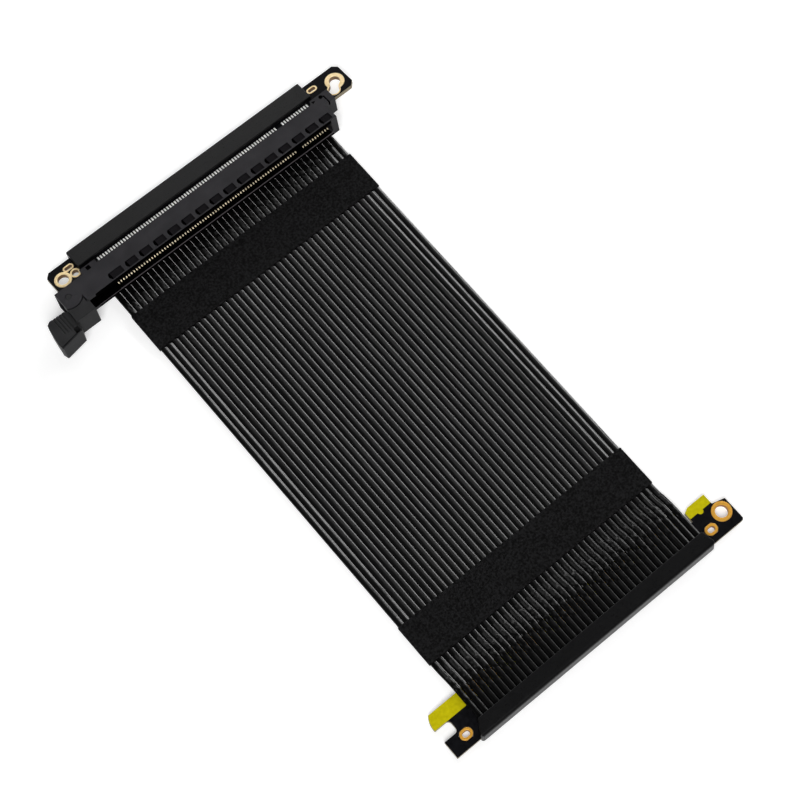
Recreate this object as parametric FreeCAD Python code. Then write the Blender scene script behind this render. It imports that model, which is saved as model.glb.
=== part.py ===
import FreeCAD, Part
import math
import os

# A riser cable for expansion cards: a slot on a board, a ribbon of flat wires, and a plug board.
# Millimetres. X runs along the slot towards its key, Y from the plug to the slot, Z up.

# Contact pattern of a sixteen lane edge, counted from the key end: the size that sets the others
CONTACT_COUNT = 82
CONTACT_PITCH = 1.0
KEY_AFTER = 11
KEY_SPAN = 3.0

# Ribbon of flat wires, laid side by side, a little wider than the contact row
WIRE_COUNT = 41
RIBBON_MARGIN = 3.9
WIRE_GAP = 0.12
WIRE_THICK = 1.25

# Cloth tape wound round the ribbon, placed from the outer face of the plug's moulding
TAPE_THICK = 0.25
TAPE_WIDTH = 14.5
PLUG_TAPE_AT = 27.2
SOCKET_TAPE_AT = 155.8

# Circuit boards and the plated rings round their holes
BOARD_THICK = 1.6
BOARD_CORNER = 1.5
RING_PROUD = 0.05
RING_FIT = 0.03

# Mouldings cast over the soldered wire ends
OVERMOULD_MARGIN = 1.95
OVERMOULD_SHIFT = -0.9
OVERMOULD_ROUND = 1.0

# Plug moulding and the clearance of the wires over the plug board
PLUG_OVERMOULD_DEPTH = 7.3
PLUG_OVERMOULD_BELOW = 0.8
PLUG_OVERMOULD_ABOVE = 1.4
PLUG_OVERMOULD_BACK = 1.1
WIRE_OVER_BOARD = 0.06

# Plug board, seen from above
HOOK_EAR = 8.9
HOOK_EAR_DEPTH = 5.9
HOOK_NOTCH_DEPTH = 5.2
HOOK_NOTCH_ROUND = 1.2
HOOK_TAB_REACH = 4.8
HOOK_TAB_CURL = 1.4
PLUG_SHOULDER = 10.1
TONGUE_SHIFT = -0.4
TONGUE_MARGIN = 1.1
TONGUE_REACH = 5.2
TONGUE_BEVEL = 0.4
KEY_WIDTH = 1.9
FINGER_WIDTH = 0.7
FINGER_EDGE = 0.6
FINGER_FOOT = 0.4
KEY_EAR = 12.3
KEY_EAR_STEP = 4.2
KEY_EAR_DROP = 0.4
KEY_EAR_SLANT = 1.2
KEY_EAR_CORNER = 0.5
KEY_TAB_GAP = 2.1
KEY_TAB_GAP_DEPTH = 1.0
KEY_TAB_REACH = 3.3
KEY_TAB_CUT = 0.9
KEY_TAB_SLANT = 1.7
PLUG_HOLE_RADIUS = 2.0
PLUG_HOLE_RING = 1.2
PLUG_HOLE_FROM_END = 3.6
PLUG_HOLE_FROM_BACK = 6.0
PLUG_SLOT_LENGTH = 2.9
PLUG_SLOT_WIDTH = 2.1
PLUG_SLOT_RING = 0.65
PLUG_SLOT_FROM_MOULD = 2.5
PLUG_SLOT_FROM_BACK = 3.8

# Slot housing, in its own frame: mouth at Y 0, board mid-plane at Z 0, contact rows about X 0
SOCKET_SHIFT = 1.05
SOCKET_TILT = 10.0
MOUTH_AT = 178.8
HOUSING_THICK = 7.8
HOUSING_DEPTH = 9.05
HOUSING_KEY_WALL = 3.4
HOUSING_OVER_WIRES = 0.25
LIP_THICK = 1.55
LIP_PAST_CONTACTS = 11.8
SLOT_SIDE = 0.5
SLOT_FLOOR = 1.85
FLOOR_CLEAR = 0.1
CARD_SLOT = 1.9
POCKET_COUNT = 16
POCKET_PITCH = 5.48
POCKET_WIDTH = 3.75
POCKET_LENGTH = 2.6
POCKET_DEPTH = 0.35
POCKET_RIM = 0.45
POCKET_PAST_CONTACTS = 0.7
FIRST_POCKET_LONGER = 0.95
CRESCENT_BOW = 0.45
CRESCENT_WIDTH = 0.5
CRESCENT_DEPTH = 1.1
GRIP_REACH = 1.35
GRIP_BELOW = 1.3
GRIP_FIT = 0.05
GRIP_KEY_PAST = 0.7
GRIP_LATCH_PAST = 1.7
GRIP_LATCH_LENGTH = 5.8
LATCH_END_SHORT = 0.55
LUG_OUT = 4.1
LUG_FRONT = 5.9
LUG_BELOW = 3.0
LUG_SLIT = 0.45
LUG_SLIT_AT = 1.55
LUG_SLIT_LENGTH = 3.2
LUG_SLIT_DEPTH = 1.5
MARK_DEPTH = 0.4
MARK_FROM_BACK = 0.2
MARK_TRIANGLE = 1.2
MARK_SQUARE = 1.5
MARK_FROM_GRIP = 3.15
PIN_SIZE = 1.4
PIN_FROM_END = 0.85

# Slot contacts: flat blades that lie along the board's faces
CONTACT_WIDTH = 0.55
CONTACT_THICK = 0.25
CONTACT_TIP = 1.1
CONTACT_CREST = 1.75
CONTACT_FLARE = 0.6
CONTACT_FOOT = 3.0

# Slot board
BOARD_GAP = 0.15
SOCKET_BOARD_DEPTH = 9.1
SOCKET_LATCH_EAR = 10.4
SOCKET_KEY_EAR = 14.9
KEY_EAR_FORWARD = 1.2
KEY_EAR_CLEAR = 0.3
SOCKET_HOLE_RADIUS = 1.8
SOCKET_HOLE_AT = 3.9
KEY_HOLE_FROM_END = 4.35
KEY_HOLE_RING = 1.4
KEY_LOBE_RADIUS = 1.75
KEY_LOBE_RING = 0.45
KEY_LOBE_IN = 2.25
KEY_LOBE_FORWARD = 2.5
LATCH_HOLE_FROM_END = 3.6
LATCH_HOLE_RING = 1.0
LATCH_LOBE_RADIUS = 1.1
LATCH_LOBE_RING = 0.6
LATCH_LOBE_IN = 4.3
LATCH_LOBE_FORWARD = 0.6
SOCKET_SLOT_LENGTH = 2.7
SOCKET_SLOT_WIDTH = 1.2
SOCKET_SLOT_RING = 0.5
SOCKET_SLOT_AT = 6.35
SOCKET_SLOT_FROM_MOULD = 3.1

# Slot moulding: the wires rise into its slanted lower front
WIRE_ENTRY_AT = 4.1
WIRE_ENTRY_BELOW = 2.1
WIRE_RISE = 22.5
WIRE_RISE_RADIUS = 6.0
ENTRY_FACE = 1.9
SOCKET_OVERMOULD_TOP = 2.4
SOCKET_OVERMOULD_BACK = 1.5
SOCKET_OVERMOULD_OUT = 0.8
SOCKET_OVERMOULD_ROUND = 0.5

# Card latch at the slot's far end: heights, then outline points from its pivot
PIVOT_PAST_LIP = 3.7
PIVOT_FROM_BACK = 4.15
PIVOT_RADIUS = 1.0
PIVOT_FIT = 0.05
PIVOT_BOSS = 2.4
CHEEK_RADIUS = 4.3
CHEEK_END = 2.85
CHEEK_THICK = 1.3
WELL_PAST_LIP = 3.0
WELL_WALL = 1.05
LATCH_GAP = 0.3
LATCH_THICK = 7.6
LATCH_ARM_THICK = 4.7
LATCH_ARM_WIDTH = 4.4
PAD_TOP = 2.6
PAD_RIDGES = 4
RIDGE_GROOVE_WIDTH = 0.4
RIDGE_GROOVE_DEPTH = 0.25
FRONT_GROOVE_BEHIND = 0.35
FRONT_GROOVE_WIDTH = 0.45
FRONT_GROOVE_DEPTH = 0.8
NOTCH_LOW = (-5.25, -11.5)
NOTCH_HIGH = (-3.55, -9.4)
NOTCH_DEPTH = 3.2
HOOK_SHOULDER_Y = -5.2
HOOK_BASE = (4.1, -5.4)
HOOK_TIP = (4.1, -9.05)
HOOK_HEEL = (-3.2, -9.05)
PAD_HEEL = (-4.1, -2.5)
PAD_OUTER = (-9.3, -2.3)
PAD_CORNER = (-10.5, -3.1)
PAD_SIDE = (-10.9, -4.6)
PAD_TOE = (-11.8, -11.4)
PAD_TIP = (-11.3, -13.2)
PAD_FRONT = (-3.5, -11.8)
PAD_NECK = (-2.5, -9.0)
PAD_ROOT = (-2.5, -4.2)

# Derived sizes and places
HALF_WIRE = WIRE_THICK / 2
HALF_BOARD = BOARD_THICK / 2
HALF_HOUSING = HOUSING_THICK / 2
CONTACT_SPAN = (CONTACT_COUNT - 2) * CONTACT_PITCH + KEY_SPAN
FIRST_CONTACT = CONTACT_SPAN / 2
KEY_CENTRE = FIRST_CONTACT - (KEY_AFTER - 1) * CONTACT_PITCH - KEY_SPAN / 2
RIBBON_WIDTH = CONTACT_SPAN + RIBBON_MARGIN
WIRE_PITCH = (RIBBON_WIDTH + WIRE_GAP) / WIRE_COUNT
WIRE_WIDTH = WIRE_PITCH - WIRE_GAP
RIBBON_LOW = TAPE_THICK + HALF_WIRE
PLUG_BOARD_TOP = PLUG_OVERMOULD_BELOW + BOARD_THICK
RIBBON_HIGH = PLUG_BOARD_TOP + WIRE_OVER_BOARD + HALF_WIRE
PLUG_OVERMOULD_TOP = RIBBON_HIGH + HALF_WIRE + PLUG_OVERMOULD_ABOVE
PLUG_SHOULDER_AT = PLUG_OVERMOULD_BACK + PLUG_SHOULDER
TONGUE_TIP = PLUG_SHOULDER_AT + TONGUE_REACH
OVERMOULD_LEFT = OVERMOULD_SHIFT - RIBBON_WIDTH / 2 - OVERMOULD_MARGIN
OVERMOULD_RIGHT = OVERMOULD_SHIFT + RIBBON_WIDTH / 2 + OVERMOULD_MARGIN
PLUG_LEFT = OVERMOULD_LEFT - HOOK_EAR
PLUG_RIGHT = OVERMOULD_RIGHT + KEY_EAR
TILT = math.radians(SOCKET_TILT)
MOUTH_HEIGHT = (RIBBON_LOW + HALF_WIRE + HOUSING_OVER_WIRES
                + HALF_HOUSING * math.cos(TILT) + HOUSING_DEPTH * math.sin(TILT))
HOUSING_KEY_END = FIRST_CONTACT + HOUSING_KEY_WALL
LIP_END = -FIRST_CONTACT - LIP_PAST_CONTACTS
PIVOT_X = LIP_END - PIVOT_PAST_LIP
PIVOT_Y = HOUSING_DEPTH - PIVOT_FROM_BACK
HOUSING_LATCH_END = PIVOT_X - CHEEK_END
LUG_END = HOUSING_KEY_END + LUG_OUT
GRIP_END = HOUSING_DEPTH + GRIP_REACH
SOCKET_BOARD_FRONT = HOUSING_DEPTH + BOARD_GAP
SOCKET_BOARD_BACK = SOCKET_BOARD_FRONT + SOCKET_BOARD_DEPTH
SOCKET_MOULD_LEFT = OVERMOULD_LEFT - SOCKET_SHIFT
SOCKET_MOULD_RIGHT = OVERMOULD_RIGHT - SOCKET_SHIFT
SOCKET_LEFT = SOCKET_MOULD_LEFT - SOCKET_LATCH_EAR
SOCKET_RIGHT = SOCKET_MOULD_RIGHT + SOCKET_KEY_EAR
WIRE_ENTRY = (SOCKET_BOARD_FRONT + WIRE_ENTRY_AT, -WIRE_ENTRY_BELOW)


# Shape helpers
def plan(x, y):
    return FreeCAD.Vector(x, y, 0)


def side(y, z):
    return FreeCAD.Vector(0, y, z)


def face(steps, place):
    """A flat face from a closed outline; a step is a point, or (via, end) for an arc."""
    edges = []
    at = steps[0]
    for step in steps[1:] + steps[:1]:
        is_arc = isinstance(step[0], tuple)
        end = step[1] if is_arc else step
        if is_arc:
            edges.append(Part.Arc(place(*at), place(*step[0]), place(*end)).toShape())
        else:
            edges.append(Part.makeLine(place(*at), place(*end)))
        at = end
    return Part.Face(Part.Wire(edges))


def plate(steps, bottom, top):
    """A flat piece: an outline in plan, raised from bottom to top."""
    base = face(steps, plan)
    base.translate(FreeCAD.Vector(0, 0, bottom))
    return base.extrude(FreeCAD.Vector(0, 0, top - bottom))


def rail(steps, left, right):
    """A long piece: an outline in side view, drawn out along X."""
    base = face(steps, side)
    base.translate(FreeCAD.Vector(left, 0, 0))
    return base.extrude(FreeCAD.Vector(right - left, 0, 0))


def box(low, high):
    return Part.makeBox(*(h - l for l, h in zip(low, high)), FreeCAD.Vector(*low))


def disc(x, y, radius, bottom, top):
    return Part.makeCylinder(radius, top - bottom, FreeCAD.Vector(x, y, bottom))


def cut_corner_slot(x, y, length, width, bottom, top):
    """A slot, long in X, with its corners cut as on an octagon."""
    half = length / 2
    deep = width / 2
    cut = deep * (1 - math.tan(math.pi / 8))
    corners = [
        (half, deep - cut), (half - cut, deep), (cut - half, deep), (-half, deep - cut),
        (-half, cut - deep), (cut - half, -deep), (half - cut, -deep), (half, cut - deep),
    ]
    return plate([(x + dx, y + dy) for dx, dy in corners], bottom, top)


def mirrored(shape):
    return shape.mirror(FreeCAD.Vector(0, 0, 0), FreeCAD.Vector(0, 0, 1))


def contact_places():
    """X of each contact, from the key end, with the gap left for the key."""
    places = []
    for number in range(CONTACT_COUNT):
        gap = KEY_SPAN - CONTACT_PITCH if number >= KEY_AFTER else 0
        places.append(FIRST_CONTACT - number * CONTACT_PITCH - gap)
    return places


def contact_groups():
    """Left and right X of the contacts on each side of the key."""
    key_half = KEY_SPAN / 2
    margin = CONTACT_PITCH / 2
    return [
        (-FIRST_CONTACT - margin, KEY_CENTRE - key_half + margin),
        (KEY_CENTRE + key_half - margin, FIRST_CONTACT + margin),
    ]


def to_part(shape):
    """Moves a socket shape from its own frame to where the socket leans on the ribbon."""
    moved = shape.copy()
    moved.rotate(FreeCAD.Vector(0, 0, 0), FreeCAD.Vector(1, 0, 0), -SOCKET_TILT)
    moved.translate(FreeCAD.Vector(SOCKET_SHIFT, MOUTH_AT, MOUTH_HEIGHT))
    return moved


# Plated holes: each is a maker (growth, bottom, top) with the width of its ring
def round_hole(x, y, radius):
    return lambda grow, low, high: disc(x, y, radius + grow, low, high)


def slot_hole(x, y, length, width):
    return lambda grow, low, high: cut_corner_slot(x, y, length + 2 * grow, width + 2 * grow, low, high)


def drilled(board, holes, low, high):
    """The board with an opening for every ring; a hole is a list of (maker, ring width)."""
    for hole in holes:
        for make, ring in hole:
            board = board.cut(make(ring + RING_FIT, low, high))
    return board


def plating(holes, middle):
    """A plated ring in each hole, level with both faces of the board or just proud of them."""
    low = middle - HALF_BOARD - RING_PROUD
    high = middle + HALF_BOARD + RING_PROUD
    rings = []
    for hole in holes:
        outers = [make(ring, low, high) for make, ring in hole]
        ring = outers[0].fuse(outers[1:]).removeSplitter() if len(outers) > 1 else outers[0]
        for make, _ in hole:
            ring = ring.cut(make(0, low, high))
        rings.append(ring)
    return Part.makeCompound(rings)


# Ribbon
def wire_edges(offset, entry):
    """One long edge of a wire's side view: over the plug board, down to the table, up to the socket."""
    drop = RIBBON_HIGH - RIBBON_LOW
    run = PLUG_TAPE_AT - TONGUE_TIP
    bend = 2 * math.atan(drop / run)
    radius = run / (2 * math.sin(bend))
    rise = math.radians(WIRE_RISE)
    rise_height = WIRE_RISE_RADIUS * (1 - math.cos(rise))
    last = (entry.z - RIBBON_LOW - rise_height) / math.sin(rise)
    rise_at = entry.y - last * math.cos(rise) - WIRE_RISE_RADIUS * math.sin(rise)

    def fall(angle):
        r = radius + offset
        return side(TONGUE_TIP + r * math.sin(angle), RIBBON_HIGH - radius + r * math.cos(angle))

    def settle(angle):
        r = radius - offset
        return side(PLUG_TAPE_AT - r * math.sin(angle), RIBBON_LOW + radius - r * math.cos(angle))

    def climb(angle):
        r = WIRE_RISE_RADIUS - offset
        return side(rise_at + r * math.sin(angle), RIBBON_LOW + WIRE_RISE_RADIUS - r * math.cos(angle))

    start = side(PLUG_OVERMOULD_DEPTH, RIBBON_HIGH + offset)
    end = climb(rise) + side(last * math.cos(rise), last * math.sin(rise))
    edges = [
        Part.makeLine(start, fall(0)),
        Part.Arc(fall(0), fall(bend / 2), fall(bend)).toShape(),
        Part.Arc(settle(bend), settle(bend / 2), settle(0)).toShape(),
        Part.makeLine(settle(0), climb(0)),
        Part.Arc(climb(0), climb(rise / 2), climb(rise)).toShape(),
        Part.makeLine(climb(rise), end),
    ]
    return start, edges, end, radius


def wire_side():
    """The side view of one wire, as a flat face."""
    entry = to_part(Part.Vertex(side(*WIRE_ENTRY))).Point
    top_start, top, top_end, radius = wire_edges(HALF_WIRE, entry)
    low_start, low, low_end, radius = wire_edges(-HALF_WIRE, entry)
    ends = [Part.makeLine(top_start, low_start), Part.makeLine(top_end, low_end)]
    length = sum(edge.Length for edge in wire_edges(0, entry)[1])
    print(f"wire length {length:.1f}, radii {radius:.1f} {radius:.1f} {WIRE_RISE_RADIUS:.1f}")
    return Part.Face(Part.Wire(Part.sortEdges(top + low + ends)[0]))


def wires():
    profile = wire_side()
    made = {}
    for number in range(WIRE_COUNT):
        wire = profile.copy()
        wire.translate(FreeCAD.Vector(number * WIRE_PITCH - RIBBON_WIDTH / 2, 0, 0))
        made[f"wire_{number + 1:02d}"] = wire.extrude(FreeCAD.Vector(WIRE_WIDTH, 0, 0))
    return made


def tape(start):
    """A band wound once round the ribbon: a flat sleeve."""
    half = RIBBON_WIDTH / 2
    end = start + TAPE_WIDTH
    inner = box((-half, start, TAPE_THICK), (half, end, TAPE_THICK + WIRE_THICK))
    outer = box((-half - TAPE_THICK, start, 0), (half + TAPE_THICK, end, 2 * TAPE_THICK + WIRE_THICK))
    return outer.cut(inner)


# Plug end
def plug_outline():
    """The plug board in plan: ears, latch hook, edge tongue with its key, and the tab beside it."""
    back = PLUG_OVERMOULD_BACK
    ear = back + HOOK_EAR_DEPTH
    notch_end = PLUG_LEFT + HOOK_NOTCH_DEPTH
    notch_in = notch_end - HOOK_NOTCH_ROUND
    notch_via = notch_in + HOOK_NOTCH_ROUND * math.sin(math.pi / 4)
    notch_turn = HOOK_NOTCH_ROUND * (1 - math.cos(math.pi / 4))
    shoulder = PLUG_SHOULDER_AT
    hook_tip = shoulder + HOOK_TAB_REACH
    hook_via = (PLUG_LEFT + HOOK_TAB_CURL / 5, shoulder + HOOK_TAB_REACH * 0.55)
    tongue_left = TONGUE_SHIFT - FIRST_CONTACT - TONGUE_MARGIN
    tongue_right = TONGUE_SHIFT + FIRST_CONTACT + TONGUE_MARGIN
    key_left = TONGUE_SHIFT + KEY_CENTRE - KEY_WIDTH / 2
    key_right = key_left + KEY_WIDTH
    tab = tongue_right + KEY_TAB_GAP
    tab_end = PLUG_RIGHT - KEY_EAR_STEP
    tab_tip = shoulder + KEY_TAB_REACH
    gap_end = shoulder - KEY_TAB_GAP_DEPTH
    return [
        (PLUG_LEFT, back),
        (PLUG_LEFT, ear),
        (notch_in, ear),
        ((notch_via, ear + notch_turn), (notch_end, ear + HOOK_NOTCH_ROUND)),
        (notch_end, shoulder - HOOK_NOTCH_ROUND),
        ((notch_via, shoulder - notch_turn), (notch_in, shoulder)),
        (PLUG_LEFT, shoulder),
        (hook_via, (PLUG_LEFT + HOOK_TAB_CURL, hook_tip)),
        (tongue_left, hook_tip),
        (tongue_left, TONGUE_TIP),
        (key_left, TONGUE_TIP),
        (key_left, shoulder),
        (key_right, shoulder),
        (key_right, TONGUE_TIP),
        (tongue_right, TONGUE_TIP),
        (tongue_right, gap_end),
        (tab, gap_end),
        (tab, tab_tip - KEY_TAB_CUT),
        (tab + KEY_TAB_SLANT, tab_tip),
        (tab_end, tab_tip),
        (tab_end, shoulder - KEY_EAR_DROP),
        (PLUG_RIGHT, shoulder - KEY_EAR_DROP - KEY_EAR_SLANT),
        (PLUG_RIGHT, back + KEY_EAR_CORNER),
        (PLUG_RIGHT - KEY_EAR_CORNER, back),
    ]


def plug_holes():
    """The round hole in the key end ear, and a slot beside each end of the moulding."""
    hole_y = PLUG_OVERMOULD_BACK + PLUG_HOLE_FROM_BACK
    slot_y = PLUG_OVERMOULD_BACK + PLUG_SLOT_FROM_BACK
    holes = [[(round_hole(PLUG_RIGHT - PLUG_HOLE_FROM_END, hole_y, PLUG_HOLE_RADIUS), PLUG_HOLE_RING)]]
    for x in (OVERMOULD_LEFT - PLUG_SLOT_FROM_MOULD, OVERMOULD_RIGHT + PLUG_SLOT_FROM_MOULD):
        holes.append([(slot_hole(x, slot_y, PLUG_SLOT_LENGTH, PLUG_SLOT_WIDTH), PLUG_SLOT_RING)])
    return holes


def plug_board():
    low = PLUG_OVERMOULD_BELOW
    board = plate(plug_outline(), low, PLUG_BOARD_TOP)
    tip_edges = [
        e for e in board.Edges
        if abs(e.CenterOfMass.y - TONGUE_TIP) < 1e-6 and abs(e.tangentAt(e.FirstParameter).x) > 0.9
    ]
    board = board.makeChamfer(TONGUE_BEVEL, tip_edges)
    return drilled(board, plug_holes(), low, PLUG_BOARD_TOP)


def fingers(bottom, top):
    """Gold edge fingers on one face of the tongue, from the shoulder to just short of its tip."""
    start = PLUG_SHOULDER_AT + FINGER_FOOT
    end = TONGUE_TIP - FINGER_EDGE
    half = FINGER_WIDTH / 2
    return Part.makeCompound([
        box((x - half, start, bottom), (x + half, end, top))
        for x in (TONGUE_SHIFT + place for place in contact_places())
    ])


def plug_overmould():
    """The bar over the soldered wire ends, with a slot where the board runs through it."""
    block = box((OVERMOULD_LEFT, 0, 0), (OVERMOULD_RIGHT, PLUG_OVERMOULD_DEPTH, PLUG_OVERMOULD_TOP))
    outer_edges = [e for e in block.Edges if e.CenterOfMass.y < 1e-6]
    block = block.makeFillet(OVERMOULD_ROUND, outer_edges)
    slot = box((OVERMOULD_LEFT, PLUG_OVERMOULD_BACK, PLUG_OVERMOULD_BELOW),
               (OVERMOULD_RIGHT, PLUG_OVERMOULD_DEPTH, PLUG_BOARD_TOP))
    return block.cut(slot)


# Socket end, in the socket's own frame
def socket_holes():
    """A screw hole with a smaller lobe at each end, and a slot beside each end of the moulding."""
    hole_y = SOCKET_BOARD_FRONT + SOCKET_HOLE_AT
    key_x = SOCKET_RIGHT - KEY_HOLE_FROM_END
    latch_x = SOCKET_LEFT + LATCH_HOLE_FROM_END
    key_lobe = round_hole(key_x - KEY_LOBE_IN, hole_y - KEY_LOBE_FORWARD, KEY_LOBE_RADIUS)
    latch_lobe = round_hole(latch_x + LATCH_LOBE_IN, hole_y - LATCH_LOBE_FORWARD, LATCH_LOBE_RADIUS)
    holes = [
        [(round_hole(key_x, hole_y, SOCKET_HOLE_RADIUS), KEY_HOLE_RING), (key_lobe, KEY_LOBE_RING)],
        [(round_hole(latch_x, hole_y, SOCKET_HOLE_RADIUS), LATCH_HOLE_RING), (latch_lobe, LATCH_LOBE_RING)],
    ]
    slot_y = SOCKET_BOARD_FRONT + SOCKET_SLOT_AT
    for x in (SOCKET_MOULD_LEFT - SOCKET_SLOT_FROM_MOULD, SOCKET_MOULD_RIGHT + SOCKET_SLOT_FROM_MOULD):
        holes.append([(slot_hole(x, slot_y, SOCKET_SLOT_LENGTH, SOCKET_SLOT_WIDTH), SOCKET_SLOT_RING)])
    return holes


def socket_board():
    cut = BOARD_CORNER
    ear_front = SOCKET_BOARD_FRONT - KEY_EAR_FORWARD
    ear_start = LUG_END + KEY_EAR_CLEAR
    outline = [
        (SOCKET_LEFT, SOCKET_BOARD_FRONT + cut),
        (SOCKET_LEFT, SOCKET_BOARD_BACK - cut),
        (SOCKET_LEFT + cut, SOCKET_BOARD_BACK),
        (SOCKET_RIGHT - cut, SOCKET_BOARD_BACK),
        (SOCKET_RIGHT, SOCKET_BOARD_BACK - cut),
        (SOCKET_RIGHT, ear_front + cut),
        (SOCKET_RIGHT - cut, ear_front),
        (ear_start, ear_front),
        (ear_start, SOCKET_BOARD_FRONT),
        (SOCKET_LEFT + cut, SOCKET_BOARD_FRONT),
    ]
    board = plate(outline, -HALF_BOARD, HALF_BOARD)
    return drilled(board, socket_holes(), -HALF_BOARD, HALF_BOARD)


def pivot_point(dx, dy):
    return (PIVOT_X + dx, PIVOT_Y + dy)


def pivot_arc(radius, left, right):
    """Three points of an arc round the pivot, on its mouth side, from X offset left to right."""
    first = math.asin(left / radius)
    last = math.asin(right / radius)
    points = []
    for angle in (first, (first + last) / 2, last):
        points.append(pivot_point(radius * math.sin(angle), -radius * math.cos(angle)))
    return points


def housing_block():
    """The moulded outline of the housing in plan, with the rounded cheek round the latch's pivot."""
    cheek_left, cheek_via, cheek_right = pivot_arc(CHEEK_RADIUS, -CHEEK_END, PIVOT_PAST_LIP)
    latch_end_back = HOUSING_DEPTH - LATCH_END_SHORT
    grip_latch = -FIRST_CONTACT - GRIP_LATCH_PAST
    grip_key = FIRST_CONTACT + GRIP_KEY_PAST
    outline = [
        (LIP_END, 0.0),
        cheek_right,
        (cheek_via, cheek_left),
        (HOUSING_LATCH_END, latch_end_back),
        (grip_latch - GRIP_LATCH_LENGTH, latch_end_back),
        (grip_latch - GRIP_LATCH_LENGTH, GRIP_END),
        (grip_latch, GRIP_END),
        (grip_latch, HOUSING_DEPTH),
        (grip_key, HOUSING_DEPTH),
        (grip_key, GRIP_END),
        (HOUSING_KEY_END, GRIP_END),
        (HOUSING_KEY_END, 0.0),
    ]
    return plate(outline, -HALF_HOUSING, HALF_HOUSING)


def housing_lug():
    """The ear at the key end: a slit block beside the slot, its upper part reaching over the board."""
    slit = HOUSING_KEY_END + LUG_SLIT_AT
    slit_end = (slit + LUG_SLIT, LUG_FRONT + LUG_SLIT_LENGTH, HALF_HOUSING)
    over_board = HALF_BOARD + GRIP_FIT
    block = box((HOUSING_KEY_END, LUG_FRONT, -LUG_BELOW), (LUG_END, HOUSING_DEPTH, HALF_HOUSING))
    reach = box((HOUSING_KEY_END, HOUSING_DEPTH, over_board), (LUG_END, GRIP_END, HALF_HOUSING))
    return block.fuse(reach).cut(box((slit, LUG_FRONT, HALF_HOUSING - LUG_SLIT_DEPTH), slit_end))


def flank_pockets():
    """Shallow pockets along one flank, the first one longer, each with a deeper crescent at one end."""
    pockets = []
    front = POCKET_RIM
    back = POCKET_RIM + POCKET_LENGTH
    third = POCKET_LENGTH / 3
    for number in range(POCKET_COUNT):
        left = number * POCKET_PITCH - FIRST_CONTACT - POCKET_PAST_CONTACTS
        right = left + POCKET_WIDTH
        if number == 0:
            left -= FIRST_POCKET_LONGER
        crescent = [
            (left + CRESCENT_WIDTH, back),
            (left, back),
            (left - CRESCENT_BOW, back - third),
            (left - CRESCENT_BOW, front + third),
            (left, front),
            (left + CRESCENT_WIDTH, front),
        ]
        pockets.append(box((left, front, HALF_HOUSING - POCKET_DEPTH), (right, back, HALF_HOUSING)))
        pockets.append(plate(crescent, HALF_HOUSING - CRESCENT_DEPTH, HALF_HOUSING))
    return pockets


def flank_marks():
    """A triangle by the first contact, a square at the latch end and a pin hole in the ear, all sunk."""
    y = HOUSING_DEPTH + MARK_FROM_BACK
    low = HALF_HOUSING - MARK_DEPTH
    half = MARK_TRIANGLE / 2
    base = FIRST_CONTACT + GRIP_KEY_PAST + MARK_FROM_BACK
    triangle = plate([(base, y - half), (base + MARK_TRIANGLE, y), (base, y + half)], low, HALF_HOUSING)
    square_x = -FIRST_CONTACT - GRIP_LATCH_PAST - MARK_FROM_GRIP
    arm = MARK_SQUARE / 2
    square = box((square_x - arm, y - arm, low), (square_x + arm, y + arm, HALF_HOUSING))
    pin = cut_corner_slot(HOUSING_KEY_END + PIN_FROM_END, y, PIN_SIZE, PIN_SIZE, low, HALF_HOUSING)
    return [triangle, square, pin]


def socket_housing():
    """The slot moulding: lips, contact troughs, key rib, slot floor, board grips and latch cheeks."""
    body = housing_block().fuse(housing_lug())
    trough = HALF_HOUSING - LIP_THICK
    floor = HALF_BOARD - FLOOR_CLEAR
    floor_front = HOUSING_DEPTH - SLOT_FLOOR
    cuts = []
    for left, right in contact_groups():
        cuts.append(box((left - SLOT_SIDE, 0, -trough), (right + SLOT_SIDE, floor_front, trough)))
        for low, high in ((floor, trough), (-trough, -floor)):
            cuts.append(box((left - SLOT_SIDE, floor_front, low), (right + SLOT_SIDE, HOUSING_DEPTH, high)))
    well_right = LIP_END + WELL_PAST_LIP
    cheek = HALF_HOUSING - CHEEK_THICK
    cuts.append(box((HOUSING_LATCH_END, 0, -cheek), (well_right, HOUSING_DEPTH - WELL_WALL, cheek)))
    slot_left = contact_groups()[0][0]
    cuts.append(box((well_right, 0, -CARD_SLOT / 2), (slot_left, floor_front, CARD_SLOT / 2)))
    board_gap = HALF_BOARD + GRIP_FIT
    cuts.append(box((HOUSING_LATCH_END, HOUSING_DEPTH, -board_gap), (HOUSING_KEY_END, GRIP_END, board_gap)))
    grip_low = -board_gap - GRIP_BELOW
    cuts.append(box((HOUSING_LATCH_END, HOUSING_DEPTH, -HALF_HOUSING), (HOUSING_KEY_END, GRIP_END, grip_low)))
    cuts.append(disc(PIVOT_X, PIVOT_Y, PIVOT_RADIUS + PIVOT_FIT, -HALF_HOUSING, HALF_HOUSING))
    for pocket in flank_pockets():
        cuts.append(pocket)
        cuts.append(mirrored(pocket))
    return body.cut(cuts + flank_marks()).removeSplitter()


def upper_contacts():
    """Blades that lie on the board's upper face, flared outwards at the mouth."""
    low = HALF_BOARD
    foot = SOCKET_BOARD_FRONT + CONTACT_FOOT
    outline = [
        (foot, low),
        (CONTACT_CREST, low),
        (CONTACT_TIP, low + CONTACT_FLARE),
        (CONTACT_CREST + CONTACT_THICK, low + CONTACT_THICK),
        (foot, low + CONTACT_THICK),
    ]
    half = CONTACT_WIDTH / 2
    return Part.makeCompound([rail(outline, x - half, x + half) for x in contact_places()])


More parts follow.
